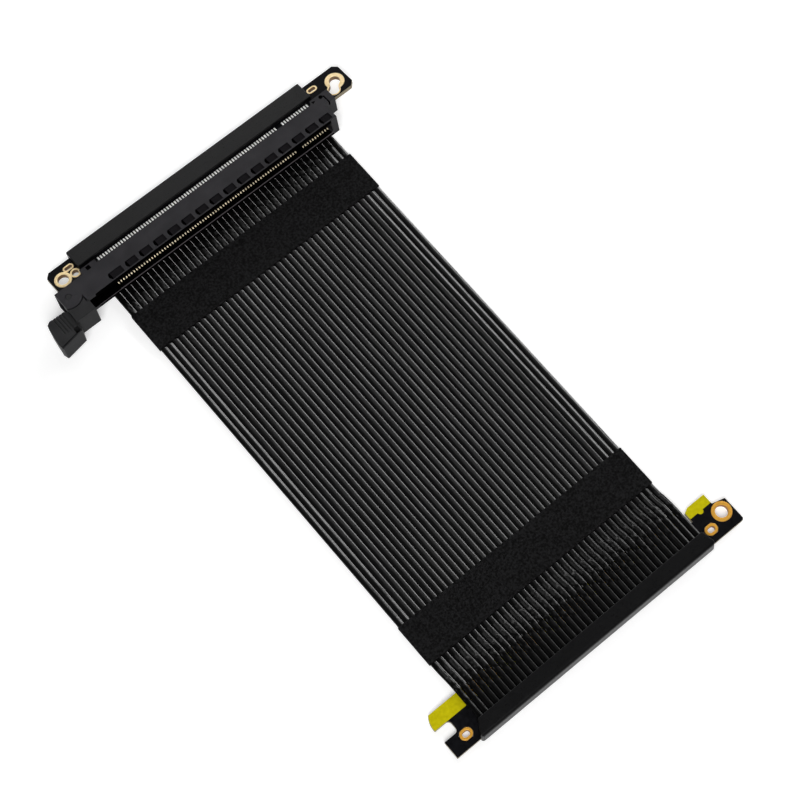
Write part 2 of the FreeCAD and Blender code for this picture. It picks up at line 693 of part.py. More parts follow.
def socket_overmould():
    """The bar over the wire ends at the slot, with a slanted face that the wires run into."""
    slant = math.radians(WIRE_RISE + SOCKET_TILT)
    entry_y, entry_z = WIRE_ENTRY
    half = ENTRY_FACE / 2
    front = entry_y - half * math.sin(slant)
    bottom = entry_z - half * math.cos(slant)
    back = SOCKET_BOARD_BACK + SOCKET_OVERMOULD_BACK
    outline = [
        (front, entry_z + half * math.cos(slant)),
        (front, SOCKET_OVERMOULD_TOP),
        (back, SOCKET_OVERMOULD_TOP),
        (back, bottom),
        (entry_y + half * math.sin(slant), bottom),
    ]
    left = SOCKET_MOULD_LEFT - SOCKET_OVERMOULD_OUT
    right = SOCKET_MOULD_RIGHT + SOCKET_OVERMOULD_OUT
    block = rail(outline, left, right)
    back_edges = [e for e in block.Edges if abs(e.CenterOfMass.y - back) < 1e-6]
    block = block.makeFillet(SOCKET_OVERMOULD_ROUND, back_edges)
    return block.cut(box((left, front, -HALF_BOARD), (right, SOCKET_BOARD_BACK, HALF_BOARD)))


def latch_lever():
    """The full-width upright, bent round the cheeks, with the hook at its front."""
    start, via, end = pivot_arc(CHEEK_RADIUS + LATCH_GAP, -CHEEK_END, PIVOT_PAST_LIP - LATCH_GAP)
    shoulder = pivot_point(PIVOT_PAST_LIP - LATCH_GAP, HOOK_SHOULDER_Y)
    hook = [pivot_point(*point) for point in (HOOK_BASE, HOOK_TIP, HOOK_HEEL)]
    return plate([start, (via, end), shoulder] + hook, -LATCH_THICK / 2, LATCH_THICK / 2)


def pad_front(dx, behind):
    """A point at an X offset from the pivot, behind the pad's front edge."""
    slope = (PAD_FRONT[1] - PAD_TIP[1]) / (PAD_FRONT[0] - PAD_TIP[0])
    return pivot_point(dx, PAD_TIP[1] + (dx - PAD_TIP[0]) * slope + behind)


def latch_pad():
    """The thumb pad beside the upright: ridges on top, a groove along its front and a notch at its root."""
    points = [PAD_HEEL, PAD_OUTER, PAD_CORNER, PAD_SIDE, PAD_TOE, PAD_TIP, PAD_FRONT, PAD_NECK, PAD_ROOT]
    pad = plate([pivot_point(*point) for point in points], -LATCH_THICK / 2, PAD_TOP)
    notch_low = pivot_point(*NOTCH_LOW)
    notch_high = pivot_point(*NOTCH_HIGH)
    near = FRONT_GROOVE_BEHIND
    far = near + FRONT_GROOVE_WIDTH
    line = [pad_front(PAD_TOE[0], near), pad_front(NOTCH_HIGH[0], near),
            pad_front(NOTCH_HIGH[0], far), pad_front(PAD_TOE[0], far)]
    cuts = [
        box((*notch_low, PAD_TOP - NOTCH_DEPTH), (*notch_high, PAD_TOP)),
        plate(line, PAD_TOP - FRONT_GROOVE_DEPTH, PAD_TOP),
    ]
    step = (PAD_HEEL[0] - PAD_OUTER[0]) / (PAD_RIDGES + 1)
    for number in range(PAD_RIDGES):
        x, front = pivot_point(PAD_HEEL[0] - (number + 1) * step, NOTCH_HIGH[1])
        groove_end = (x + RIDGE_GROOVE_WIDTH, PIVOT_Y, PAD_TOP)
        cuts.append(box((x, front, PAD_TOP - RIDGE_GROOVE_DEPTH), groove_end))
    return pad.cut(cuts)


def socket_latch():
    """One moulding: lever, pad, the arm between the cheeks and its pivot pins."""
    arm_half = LATCH_ARM_THICK / 2
    pin_half = LATCH_THICK / 2
    arm_end = CHEEK_RADIUS + 2 * LATCH_GAP
    arm = box((*pivot_point(-LATCH_ARM_WIDTH / 2, -arm_end), -arm_half),
              (*pivot_point(LATCH_ARM_WIDTH / 2, 0), arm_half))
    boss = cut_corner_slot(PIVOT_X, PIVOT_Y, 2 * PIVOT_BOSS, 2 * PIVOT_BOSS, -arm_half, arm_half)
    pins = disc(PIVOT_X, PIVOT_Y, PIVOT_RADIUS, -pin_half, pin_half)
    return latch_lever().fuse([latch_pad(), arm, boss, pins]).removeSplitter()


def socket_pieces():
    contacts = upper_contacts()
    return {
        "socket_housing": socket_housing(),
        "socket_upper_contacts": contacts,
        "socket_lower_contacts": mirrored(contacts),
        "socket_latch": socket_latch(),
        "socket_board": socket_board(),
        "socket_board_plating": plating(socket_holes(), 0),
        "socket_overmould": socket_overmould(),
    }


def plug_pieces():
    low = PLUG_OVERMOULD_BELOW
    return {
        "plug_board": plug_board(),
        "plug_board_plating": plating(plug_holes(), low + HALF_BOARD),
        "plug_upper_fingers": fingers(PLUG_BOARD_TOP, PLUG_BOARD_TOP + RING_PROUD),
        "plug_lower_fingers": fingers(low - RING_PROUD, low),
        "plug_overmould": plug_overmould(),
    }


# The whole cable, with its origin at the middle of the floor that it covers
def main():
    pieces = {name: to_part(shape) for name, shape in socket_pieces().items()}
    pieces.update(plug_pieces())
    pieces.update(wires())
    pieces["plug_tape"] = tape(PLUG_TAPE_AT)
    pieces["socket_tape"] = tape(SOCKET_TAPE_AT)
    whole = Part.makeCompound(list(pieces.values())).optimalBoundingBox(False)
    origin = FreeCAD.Vector(-whole.Center.x, -whole.Center.y, -whole.ZMin)
    print(f"moved by {origin.x:.4f} {origin.y:.4f} {origin.z:.4f}, mouth height {MOUTH_HEIGHT:.4f}")
    os.makedirs("parts", exist_ok=True)
    for name, shape in pieces.items():
        shape.translate(origin)
        shape.exportStep(f"parts/{name}.step")


main()
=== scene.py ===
import math

import bmesh
import bpy
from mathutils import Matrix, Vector


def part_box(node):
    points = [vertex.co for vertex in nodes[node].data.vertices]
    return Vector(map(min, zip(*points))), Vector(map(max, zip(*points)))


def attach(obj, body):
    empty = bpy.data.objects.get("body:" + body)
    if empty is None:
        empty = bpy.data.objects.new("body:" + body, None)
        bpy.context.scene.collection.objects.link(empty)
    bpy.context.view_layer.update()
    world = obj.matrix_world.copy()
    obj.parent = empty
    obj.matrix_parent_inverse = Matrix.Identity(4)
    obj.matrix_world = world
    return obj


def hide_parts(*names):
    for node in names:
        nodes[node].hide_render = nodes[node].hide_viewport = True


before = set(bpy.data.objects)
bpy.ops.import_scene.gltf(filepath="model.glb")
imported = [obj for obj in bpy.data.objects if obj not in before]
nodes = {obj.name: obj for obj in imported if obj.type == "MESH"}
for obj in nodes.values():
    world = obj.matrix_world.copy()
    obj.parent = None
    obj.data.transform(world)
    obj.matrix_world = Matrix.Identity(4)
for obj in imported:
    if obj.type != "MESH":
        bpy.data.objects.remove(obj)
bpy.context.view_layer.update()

# The view: the cable lies flat on a white table and is seen from above its plug end. The long lens
# keeps its straight edges nearly parallel.
FOCAL_LENGTH = 97.92
SENSOR_WIDTH = 36.0
AZIMUTH = math.radians(-39.83)
ELEVATION = math.radians(69.59)
EYE_DISTANCE = 0.664
AIM_ACROSS = 0.049075
AIM_ALONG = 0.096436

bar_low, bar_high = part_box("plug_overmould")
aim = Vector((bar_low.x + AIM_ACROSS, bar_low.y + AIM_ALONG, 0.0))
lens = bpy.data.cameras.new("long_lens")
lens.lens = FOCAL_LENGTH
lens.sensor_width = SENSOR_WIDTH
camera = bpy.data.objects.new("camera", lens)
bpy.context.scene.collection.objects.link(camera)
towards_eye = Vector((
    math.sin(AZIMUTH) * math.cos(ELEVATION),
    -math.cos(AZIMUTH) * math.cos(ELEVATION),
    math.sin(ELEVATION),
))
camera.location = aim + towards_eye * EYE_DISTANCE
camera.rotation_euler = (-towards_eye).to_track_quat("-Z", "Y").to_euler()
bpy.context.scene.camera = camera
bpy.context.scene.view_settings.view_transform = "Standard"


# Plug board: a glass fibre circuit board with a black solder mask. The tongue, the hook and the tab
# beside the tongue are left bare, so the yellow laminate shows; its routed edges are pale fibre.
UPRIGHT = Vector((0.0, 0.0, 1.0))
BOARD_EDGE = 0.00008
BARE_MARGIN = 0.0004
BUMP_RADIUS = 0.00095
BUMP_PAST_BAR = 0.0038
EDGE_COSINE = 0.6
MERGE = 1e-7
FLAT = math.radians(0.5)


def screen_colour(red, green, blue):
    """A colour as seen on screen, 0 to 255, as the linear colour that a shader takes."""
    out = []
    for value in (red, green, blue):
        value /= 255
        out.append(value / 12.92 if value <= 0.04045 else ((value + 0.055) / 1.055) ** 2.4)
    return (*out, 1.0)


def grey(level):
    return (level, level, level, 1.0)


def new_finish(name):
    """An empty finish: the material, its node tree and its surface shader."""
    material = bpy.data.materials.new(name)
    material.use_nodes = True
    return material, material.node_tree, material.node_tree.nodes["Principled BSDF"]


def feed(tree, node, inputs):
    """Gives a node its inputs, each a number, a colour or another node's socket."""
    for key, value in inputs.items():
        if isinstance(value, bpy.types.NodeSocket):
            tree.links.new(value, node.inputs[key])
        else:
            node.inputs[key].default_value = value


def add_node(tree, kind, inputs, **settings):
    """A node with its settings made and its inputs given."""
    made = tree.nodes.new(kind)
    for key, value in settings.items():
        setattr(made, key, value)
    feed(tree, made, inputs)
    return made


def coordinates(tree):
    return add_node(tree, "ShaderNodeTexCoord", {}).outputs


def split(tree, vector):
    return add_node(tree, "ShaderNodeSeparateXYZ", {"Vector": vector}).outputs


def maths(tree, operation, first, second=0.0):
    return add_node(tree, "ShaderNodeMath", {0: first, 1: second}, operation=operation).outputs[0]


def vector_maths(tree, operation, first, second):
    made = add_node(tree, "ShaderNodeVectorMath", {0: first, 1: second}, operation=operation)
    return made.outputs["Value" if operation in ("DISTANCE", "DOT_PRODUCT") else "Vector"]


def noise(tree, place, scale, detail):
    inputs = {"Vector": place, "Scale": scale, "Detail": detail}
    return add_node(tree, "ShaderNodeTexNoise", inputs).outputs["Fac"]


def ramp(tree, factor, low, high, span=(0.3, 0.7)):
    """A colour that runs from low to high while the factor crosses a span."""
    made = add_node(tree, "ShaderNodeValToRGB", {"Fac": factor})
    for point, place, colour in zip(made.color_ramp.elements, span, (low, high)):
        point.position = place
        point.color = colour
    return made.outputs["Color"]


def mixed(tree, share, first, second):
    inputs = {"Fac": share, "Color1": first, "Color2": second}
    return add_node(tree, "ShaderNodeMixRGB", inputs).outputs["Color"]


def bump(tree, inputs):
    return add_node(tree, "ShaderNodeBump", inputs).outputs["Normal"]


def turned_from(tree, normal, axis):
    """One where a surface turns away from an axis, nought where it lies square to it."""
    facing = maths(tree, "ABSOLUTE", vector_maths(tree, "DOT_PRODUCT", normal, axis))
    return maths(tree, "LESS_THAN", facing, EDGE_COSINE)


def board_finish(name, face_axis, shine, bare_from=None, bump_x=None):
    """Black mask with pale fibre at the edges, and bare laminate past a line that has one round bump."""
    material, tree, surface = new_finish(name)
    place = coordinates(tree)
    cloudy = noise(tree, place["Object"], scale=900.0, detail=4.0)
    fibre = noise(tree, place["Object"], scale=5200.0, detail=2.0)
    colour = ramp(tree, cloudy, screen_colour(6, 6, 8), screen_colour(13, 13, 17), span=(0.3, 0.75))
    if bare_from is not None:
        parts = split(tree, place["Object"])
        level = add_node(tree, "ShaderNodeCombineXYZ", {"X": parts["X"], "Y": parts["Y"]})
        reach = vector_maths(tree, "DISTANCE", level.outputs["Vector"], (bump_x, bare_from, 0.0))
        past_line = maths(tree, "GREATER_THAN", parts["Y"], bare_from)
        bare = maths(tree, "MAXIMUM", past_line, maths(tree, "LESS_THAN", reach, BUMP_RADIUS))
        laminate = ramp(tree, cloudy, screen_colour(178, 168, 2), screen_colour(196, 186, 6))
        colour = mixed(tree, bare, colour, laminate)
    edge_colour = ramp(tree, fibre, screen_colour(120, 110, 88), screen_colour(176, 166, 140))
    feed(tree, surface, {
        "Base Color": mixed(tree, turned_from(tree, place["Normal"], face_axis), colour, edge_colour),
        "Roughness": ramp(tree, cloudy, grey(0.3), grey(0.42)),
        "Specular IOR Level": shine,
        "Normal": bump(tree, {"Height": fibre, "Strength": 0.2, "Distance": 0.00002}),
    })
    return material


def rounded(piece, rounding):
    """Rounds a piece's sharp edges and keeps its flat faces flat."""
    edges = piece.modifiers.new("rounded_edges", "BEVEL")
    edges.width = rounding
    edges.segments = 2
    edges.limit_method = "ANGLE"
    edges.angle_limit = math.radians(30)
    edges.use_clamp_overlap = False
    edges.loop_slide = False
    piece.modifiers.new("flat_faces", "WEIGHTED_NORMAL").weight = 90


def node_shape(node):
    """A node's own shape, with its doubles merged and its flat faces whole."""
    shape = bmesh.new()
    shape.from_mesh(nodes[node].data)
    bmesh.ops.remove_doubles(shape, verts=shape.verts, dist=MERGE)
    bmesh.ops.dissolve_limit(shape, angle_limit=FLAT, verts=shape.verts, edges=shape.edges)
    return shape


def piece_from(shape, node, material, body="cable"):
    """A finished mesh as the piece that stands for a node and rides on a body."""
    name = f"{node}_shown"
    mesh = bpy.data.meshes.new(name)
    shape.to_mesh(mesh)
    shape.free()
    mesh.materials.append(material)
    for polygon in mesh.polygons:
        polygon.use_smooth = True
    piece = bpy.data.objects.new(name, mesh)
    bpy.context.scene.collection.objects.link(piece)
    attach(piece, body)
    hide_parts(node)
    return piece


def finished_copy(node, rounding, material, body="cable", reshape=None):
    """A node's own shape, reshaped where asked, as a new piece with its sharp edges rounded."""
    shape = node_shape(node)
    if reshape is not None:
        shape.normal_update()
        reshape(shape)
    bmesh.ops.connect_verts_concave(shape, faces=shape.faces)
    piece = piece_from(shape, node, material, body)
    rounded(piece, rounding)
    return piece


bare_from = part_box("plug_upper_fingers")[0].y - BARE_MARGIN
bump_x = bar_high.x + BUMP_PAST_BAR
plug_mask = board_finish("plug_mask_and_laminate", UPRIGHT, shine=0.13, bare_from=bare_from, bump_x=bump_x)
finished_copy("plug_board", BOARD_EDGE, plug_mask)


# Plated holes of the plug board: copper barrels with a ring on each face, plated with orange gold.
# One is round, for a screw; the two beside the moulding are oval.
HOLE_STEPS = 48
HOLE_REACH = 0.01
HOLE_MERGE = 1e-6
TINY_AREA = 1e-12
PLATING_EDGE = 0.00004
SCREW_FROM_SIDE = 0.0036
SCREW_FROM_FRONT = 0.006
SCREW_HOLE = 0.004
SCREW_RIM = 0.0012
OVAL_PAST_BAR = 0.0025
OVAL_FROM_FRONT = 0.0038
OVAL_LENGTH = 0.0025
OVAL_WIDTH = 0.0017
OVAL_RIM = 0.00085


def metal_finish(name, face_axis, low, high, barrel_shade):
    """Dull plating, with painted shade in the barrels: darker there than on the faces that lie square to an
    axis.
    """
    material, tree, surface = new_finish(name)
    place = coordinates(tree)
    worn = noise(tree, place["Object"], scale=1600.0, detail=3.0)
    in_barrel = turned_from(tree, place["Normal"], face_axis)
    feed(tree, surface, {
        # Painted shade: the barrels take the darker colour.
        "Base Color": mixed(tree, in_barrel, ramp(tree, worn, low, high), barrel_shade),
        "Roughness": ramp(tree, worn, grey(0.44), grey(0.36)),
        "Metallic": 0.4,
    })
    return material


def oval(centre, length, width):
    """A round-ended outline, as one lobe: its two centres and its radius."""
    half = Vector(((length - width) / 2, 0.0))
    return [(centre - half, centre + half, width / 2)]


def in_lobe(point, start, end, radius):
    along = end - start
    share = (point - start).dot(along) / max(along.length_squared, TINY_AREA)
    return (point - start - along * min(max(share, 0.0), 1.0)).length < radius


def outline_point(centre, lobes, angle):
    """The point where a ray from the centre leaves a group of lobes."""
    way = Vector((math.cos(angle), math.sin(angle)))
    near, far = 0.0, HOLE_REACH
    while far - near > MERGE:
        halfway = (near + far) / 2
        if any(in_lobe(centre + way * halfway, *lobe) for lobe in lobes):
            near = halfway
        else:
            far = halfway
    return centre + way * near


def plated_hole(shape, heights, centre, opening, ring):
    """A barrel with a flat ring at each end, swept once round in its board's own directions."""
    low, high = heights
    verts = bmesh.ops.create_circle(shape, segments=HOLE_STEPS, radius=1.0)["verts"]
    bmesh.ops.translate(shape, verts=verts, vec=(centre.x, centre.y, 0.0))
    edges = list(dict.fromkeys(edge for vert in verts for edge in vert.link_edges))
    sweep = [(ring, low), (opening, low), (opening, high), (ring, high), (ring, low)]
    for stage, (lobes, height) in enumerate(sweep):
        if stage > 0:
            made = bmesh.ops.extrude_edge_only(shape, edges=edges)["geom"]
            verts = [part for part in made if isinstance(part, bmesh.types.BMVert)]
            edges = [part for part in made if isinstance(part, bmesh.types.BMEdge) and part.is_boundary]
        for vert in verts:
            angle = math.atan2(vert.co.y - centre.y, vert.co.x - centre.x)
            point = outline_point(centre, lobes, angle)
            vert.co = (point.x, point.y, height)


def oval_hole(shape, heights, centre, length, width, rim):
    outer = oval(centre, length + 2 * rim, width + 2 * rim)
    plated_hole(shape, heights, centre, oval(centre, length, width), outer)


def plating_piece(shape, node, material, placed=Vector):
    """All of a board's plated holes as one piece, put where the board is."""
    bmesh.ops.remove_doubles(shape, verts=shape.verts, dist=HOLE_MERGE)
    bmesh.ops.recalc_face_normals(shape, faces=shape.faces)
    for vert in shape.verts:
        vert.co = placed(vert.co)
    rounded(piece_from(shape, node, material), PLATING_EDGE)


plug_gold = metal_finish(
    "plug_gold", UPRIGHT,
    low=screen_colour(222, 160, 52), high=screen_colour(238, 178, 70), barrel_shade=screen_colour(158, 106, 48),
)
plug_low, plug_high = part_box("plug_board")
ring_low, ring_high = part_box("plug_board_plating")
plug_heights = (ring_low.z, ring_high.z)
plug_plating = bmesh.new()
screw_hole = Vector((plug_high.x - SCREW_FROM_SIDE, plug_low.y + SCREW_FROM_FRONT))
oval_hole(plug_plating, plug_heights, screw_hole, SCREW_HOLE, SCREW_HOLE, SCREW_RIM)
for x in (bar_low.x - OVAL_PAST_BAR, bar_high.x + OVAL_PAST_BAR):
    beside_bar = Vector((x, plug_low.y + OVAL_FROM_FRONT))
    oval_hole(plug_plating, plug_heights, beside_bar, OVAL_LENGTH, OVAL_WIDTH, OVAL_RIM)
plating_piece(plug_plating, "plug_board_plating", plug_gold)


# Edge fingers: 82 strips of gold plated copper on each face of the tongue, in two groups with the key
# notch between them. They stand only just proud of the board.
FINGER_EDGE = 0.00001
for side in ("upper", "lower"):
    finished_copy(f"plug_{side}_fingers", FINGER_EDGE, plug_gold)


# Wires: 41 flat cables side by side. Each is a pair of conductors in a wrapped black film, drawn round
# at its edges, and crinkled where it bends towards the two mouldings.
WIRE_COUNT = 41
EDGE_WIRES = (1, 2, 39, 40, 41)
FILM_SHINE = 0.5
PLUG_END_SHINE = 0.2
PAINTED_SHADE_SHARE = 0.2
WIRES_DIP = 0.0014
WIRES_HELD = 0.001
NEAR = 1e-5
CUT_NEAR = 1e-8
SHARP = math.radians(60)
# A section's points: the place across the wire, from -1 to 1, and the film's rise there in millimetres.
MILLIMETRE = 0.001
LEFT_SHOULDER = [(-1.0, -0.55), (-0.97, -0.36), (-0.9, -0.22), (-0.8, -0.12), (-0.62, -0.035), (-0.4, 0.0)]
WIRE_TOP = LEFT_SHOULDER + [
    (-0.15, -0.008), (0.1, -0.027), (0.35, -0.06), (0.58, -0.105), (0.74, -0.15),
    (0.86, -0.2), (0.93, -0.245), (0.97, -0.31), (1.0, -0.55),
]
EDGE_TOP = LEFT_SHOULDER + [
    (-0.15, 0.0), (0.1, -0.005), (0.35, -0.03), (0.58, -0.14), (0.74, -0.216),
    (0.86, -0.273), (0.93, -0.307), (0.97, -0.36), (1.0, -0.55),
]
# Crinkles: where they start and end from each end of a wire, and waves as (pace, turn per wire, size).
CRINKLED_AT_PLUG = (0.001, 0.018)
CRINKLED_AT_SLOT = (0.0215, 0.006)
CRINKLE_STEP = 0.0006
CRINKLE_DEPTH = 0.00007
CRINKLE_SINK = 0.6
CRINKLE_WAVES = ((1900, 2.4, 1.0), (3300, 4.1, 0.8))
CRINKLE_SLANT = 0.0004
SLANT_TURN = 1.7


def slide(tree, value, places, levels):
    """A level that slides from the first to the second while the value goes between two places."""
    inputs = {
        "Value": value,
        "From Min": places[0], "From Max": places[1],
        "To Min": levels[0], "To Max": levels[1],
    }
    return add_node(tree, "ShaderNodeMapRange", inputs).outputs["Result"]


def film_finish():
    """Glossy black film, its shine lower towards the plug, and lowered near the slot as painted shade."""
    material, tree, surface = new_finish("wire_film")
    place = coordinates(tree)
    stretched = {"Vector": place["Object"], "Scale": (1.0, 0.45, 1.0)}
    along = add_node(tree, "ShaderNodeMapping", stretched).outputs["Vector"]
    mottle = noise(tree, along, scale=1500.0, detail=3.0)
    sway = noise(tree, along, scale=120.0, detail=2.0)
    y = split(tree, place["Object"])["Y"]
    plug_band_low, plug_band_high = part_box("plug_tape")
    slot_gap = (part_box("socket_tape")[1].y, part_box("socket_housing")[0].y)
    plug_end_shine = slide(tree, y, (plug_band_low.y, plug_band_high.y), (PLUG_END_SHINE, FILM_SHINE))
    # Painted shade: the film's shine fades between the slot's tape and the slot.
    painted_slot_shade = slide(tree, y, slot_gap, (1.0, PAINTED_SHADE_SHARE))
    bent = bump(tree, {"Height": sway, "Strength": 1.0, "Distance": 0.0004})
    feed(tree, surface, {
        "Base Color": ramp(tree, mottle, screen_colour(3, 3, 3), screen_colour(9, 9, 9), span=(0.3, 0.75)),
        "Roughness": ramp(tree, mottle, grey(0.26), grey(0.15)),
        "Specular IOR Level": maths(tree, "MULTIPLY", plug_end_shine, painted_slot_shade),
        "Normal": bump(tree, {"Height": mottle, "Strength": 0.4, "Distance": 0.00006, "Normal": bent}),
    })
    return material


def cut_across(shape, point, normal):
    everything = shape.verts[:] + shape.edges[:] + shape.faces[:]
    bmesh.ops.bisect_plane(shape, geom=everything, plane_co=point, plane_no=normal, dist=CUT_NEAR)


def crinkle(number, across, y, start, end):
    """How far a wire's film is lifted at a place along one of its crinkled stretches."""
    share = math.sin(math.pi * (y - start) / (end - start))
    slant = y + CRINKLE_SLANT * across * math.sin(number * SLANT_TURN)
    wave = sum(size * math.sin(slant * pace + number * turn) for pace, turn, size in CRINKLE_WAVES)
    return CRINKLE_DEPTH * share * (wave - CRINKLE_SINK)


def wire_shape(node, number):
    """A wire's own route with a rounded section and crinkles near its ends."""
    low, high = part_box(node)
    middle = (low.x + high.x) / 2
    half = (high.x - low.x) / 2
    section = EDGE_TOP if number in EDGE_WIRES else WIRE_TOP
    crinkled = [
        (low.y + CRINKLED_AT_PLUG[0], low.y + CRINKLED_AT_PLUG[1]),
        (high.y - CRINKLED_AT_SLOT[0], high.y - CRINKLED_AT_SLOT[1]),
    ]
    shape = node_shape(node)
    for across, _ in section[1:-1]:
        cut_across(shape, (middle + across * half, 0, 0), (1, 0, 0))
    for start, end in crinkled:
        for step in range(round((end - start) / CRINKLE_STEP) + 1):
            cut_across(shape, (0, start + step * CRINKLE_STEP, 0), (0, 1, 0))
    shape.normal_update()
    tops = [vert.normal.z > 0 for vert in shape.verts]
    for vert, is_top in zip(shape.verts, tops):
        across = (vert.co.x - middle) / half
        rise = min(section, key=lambda point: abs(point[0] - across))[1] * MILLIMETRE
        vert.co.z += rise if is_top else -rise
        if vert.co.y < low.y + NEAR:
            vert.co.y -= WIRES_DIP + WIRES_HELD
        for start, end in crinkled:
            if is_top and start < vert.co.y < end:
                vert.co.z += crinkle(number, across, vert.co.y, start, end)
    shape.normal_update()
    for edge in shape.edges:
        edge.smooth = edge.calc_face_angle(0.0) < SHARP
    return shape


wire_film = film_finish()
for number in range(1, WIRE_COUNT + 1):
    node = f"wire_{number:02d}"
    piece_from(wire_shape(node, number), node, wire_film)


# Plug moulding: a bar of black plastic cast over the soldered wire ends and the board. Its outer face
# leans back so that the mould could open, and its back face is as wide as the ribbon.
BAR_EDGE = 0.00025
BAR_LEAN = 0.0007
BAR_MARGIN = 0.0002
PITS_DULLER = 0.1
CRESTS_SMOOTHER = 0.06
ribbon_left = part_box("wire_01")[0].x - BAR_MARGIN
ribbon_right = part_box(f"wire_{WIRE_COUNT}")[1].x + BAR_MARGIN


def plastic_finish(name, low, high, rough, shine, origin=None, tilt=0.0, painted_boxes=()):
    """Moulded plastic with a fine grain; each box of painted shade or light is two corners from the origin,
    in mm, and a colour, and loses its shine.
    """
    material, tree, surface = new_finish(name)
    place = coordinates(tree)
    cloudy = noise(tree, place["Object"], scale=160.0, detail=5.0)
    pits = noise(tree, place["Object"], scale=3800.0, detail=3.0)
    colour = ramp(tree, cloudy, low, high)
    if painted_boxes:
        turning = {"Vector": place["Object"], "Center": origin, "Angle": tilt}
        turned = add_node(tree, "ShaderNodeVectorRotate", turning, rotation_type="X_AXIS").outputs["Vector"]
    for corner, far_corner, painted_colour in painted_boxes:
        middle = origin + (Vector(corner) + Vector(far_corner)) * MILLIMETRE / 2
        halves = (Vector(far_corner) - Vector(corner)) * MILLIMETRE / 2
        reach = turned
        for operation, other in (("SUBTRACT", middle), ("DIVIDE", halves), ("ABSOLUTE", halves)):
            reach = vector_maths(tree, operation, reach, other)
        parts = split(tree, reach)
        furthest = maths(tree, "MAXIMUM", maths(tree, "MAXIMUM", parts["X"], parts["Y"]), parts["Z"])
        colour = mixed(tree, maths(tree, "LESS_THAN", furthest, 1.0), colour, painted_colour)
        shine = maths(tree, "MULTIPLY", maths(tree, "GREATER_THAN", furthest, 1.0), shine)
    feed(tree, surface, {
        "Base Color": colour,
        "Roughness": ramp(tree, pits, grey(rough + PITS_DULLER), grey(rough - CRESTS_SMOOTHER)),
        "Specular IOR Level": shine,
        "Normal": bump(tree, {"Height": pits, "Strength": 0.35, "Distance": 0.00003}),
    })
    return material


def shape_bar(shape):
    """Leans the outer face back towards its top, sets the back face in and narrows it to the ribbon."""
    for vert in shape.verts:
        if vert.co.y > bar_high.y - NEAR:
            vert.co.y -= WIRES_DIP
            vert.co.x = min(max(vert.co.x, ribbon_left), ribbon_right)
        elif vert.co.y < plug_low.y - NEAR:
            vert.co.y += BAR_LEAN * (vert.co.z - bar_low.z) / (bar_high.z - bar_low.z)


bar_plastic = plastic_finish(
    "bar_plastic", screen_colour(9, 9, 10), screen_colour(13, 13, 14), rough=0.32, shine=0.25
)
finished_copy("plug_overmould", BAR_EDGE, bar_plastic, reshape=shape_bar)


# Tape bands: black cloth tape wound once round the ribbon, with its ends meeting underneath. It holds
# the wires side by side; its weave and nap show as a fine mottle.
TAPE_EDGE = 0.0002


def cloth_finish():
    material, tree, surface = new_finish("cloth_tape")
    place = coordinates(tree)
    threads = {"Vector": place["Object"], "Scale": 900.0, "Distortion": 2.0, "Detail": 2.0}
    warp = add_node(tree, "ShaderNodeTexWave", threads, bands_direction="X").outputs["Fac"]
    weft = add_node(tree, "ShaderNodeTexWave", threads, bands_direction="Y").outputs["Fac"]
    nap = noise(tree, place["Object"], scale=1500.0, detail=2.0)
    height = maths(tree, "ADD", maths(tree, "MULTIPLY", warp, weft), nap)
    feed(tree, surface, {
        "Base Color": ramp(tree, nap, screen_colour(0, 0, 0), screen_colour(23, 23, 24), span=(0.36, 0.64)),
        "Roughness": 0.9,
        "Specular IOR Level": 0.13,
        "Normal": bump(tree, {"Height": height, "Strength": 0.6, "Distance": 0.00006}),
    })
    return material


tape_cloth = cloth_finish()
for node in ("plug_tape", "socket_tape"):
    tape = finished_copy(node, TAPE_EDGE, tape_cloth)


# Slot board: a second circuit board with the same black mask, tilted with the slot that it carries. It
# reaches past both ends of the slot, where its screw holes are.
TILT = math.radians(10)
BOARD_AXIS = Vector((0.0, math.sin(TILT), math.cos(TILT)))
DEPTH_AXIS = Vector((0.0, math.cos(TILT), -math.sin(TILT)))
housing_corners = [vert.co for vert in nodes["socket_housing"].data.vertices]
housing_heights = [corner.dot(BOARD_AXIS) for corner in housing_corners]
slot_front = min(corner.dot(DEPTH_AXIS) for corner in housing_corners)
slot_height = (min(housing_heights) + max(housing_heights)) / 2
socket_mask = board_finish("socket_mask", BOARD_AXIS, shine=0.06)
finished_copy("socket_board", BOARD_EDGE, socket_mask)


# Plated holes of the slot board: barrels and rings as on the plug board, in a paler gold. The key end
# has a double hole, the latch end a screw hole with a small one beside it, and each end of the moulding
# an oval. Places are across the board and in from the front of the slot.
HALF_RING = 0.00085
SCREWS_IN = 0.0131
KEY_PAST_BAR = 0.01055
KEY_HOLE, KEY_RING = 0.0036, 0.0064
KEY_LOBE, KEY_LOBE_RING = 0.0035, 0.0044
KEY_LOBE_STEP = Vector((-0.00225, -0.0025))
KEY_WAIST_RADIUS = 0.0014
LATCH_PAST_BAR = 0.0068
LATCH_HOLE, LATCH_RIM = 0.0036, 0.001
LATCH_LOBE, LATCH_LOBE_RIM = 0.0022, 0.0006
LATCH_LOBE_STEP = Vector((0.0043, -0.0006))
SLIM_PAST_BAR = 0.0031
SLIM_IN = 0.01555
SLIM_LENGTH, SLIM_WIDTH, SLIM_RIM = 0.0027, 0.0012, 0.0005


def on_slot_board(place):
    x, depth, height = place
    return Vector((x, 0.0, 0.0)) + DEPTH_AXIS * (slot_front + depth) + BOARD_AXIS * (slot_height + height)


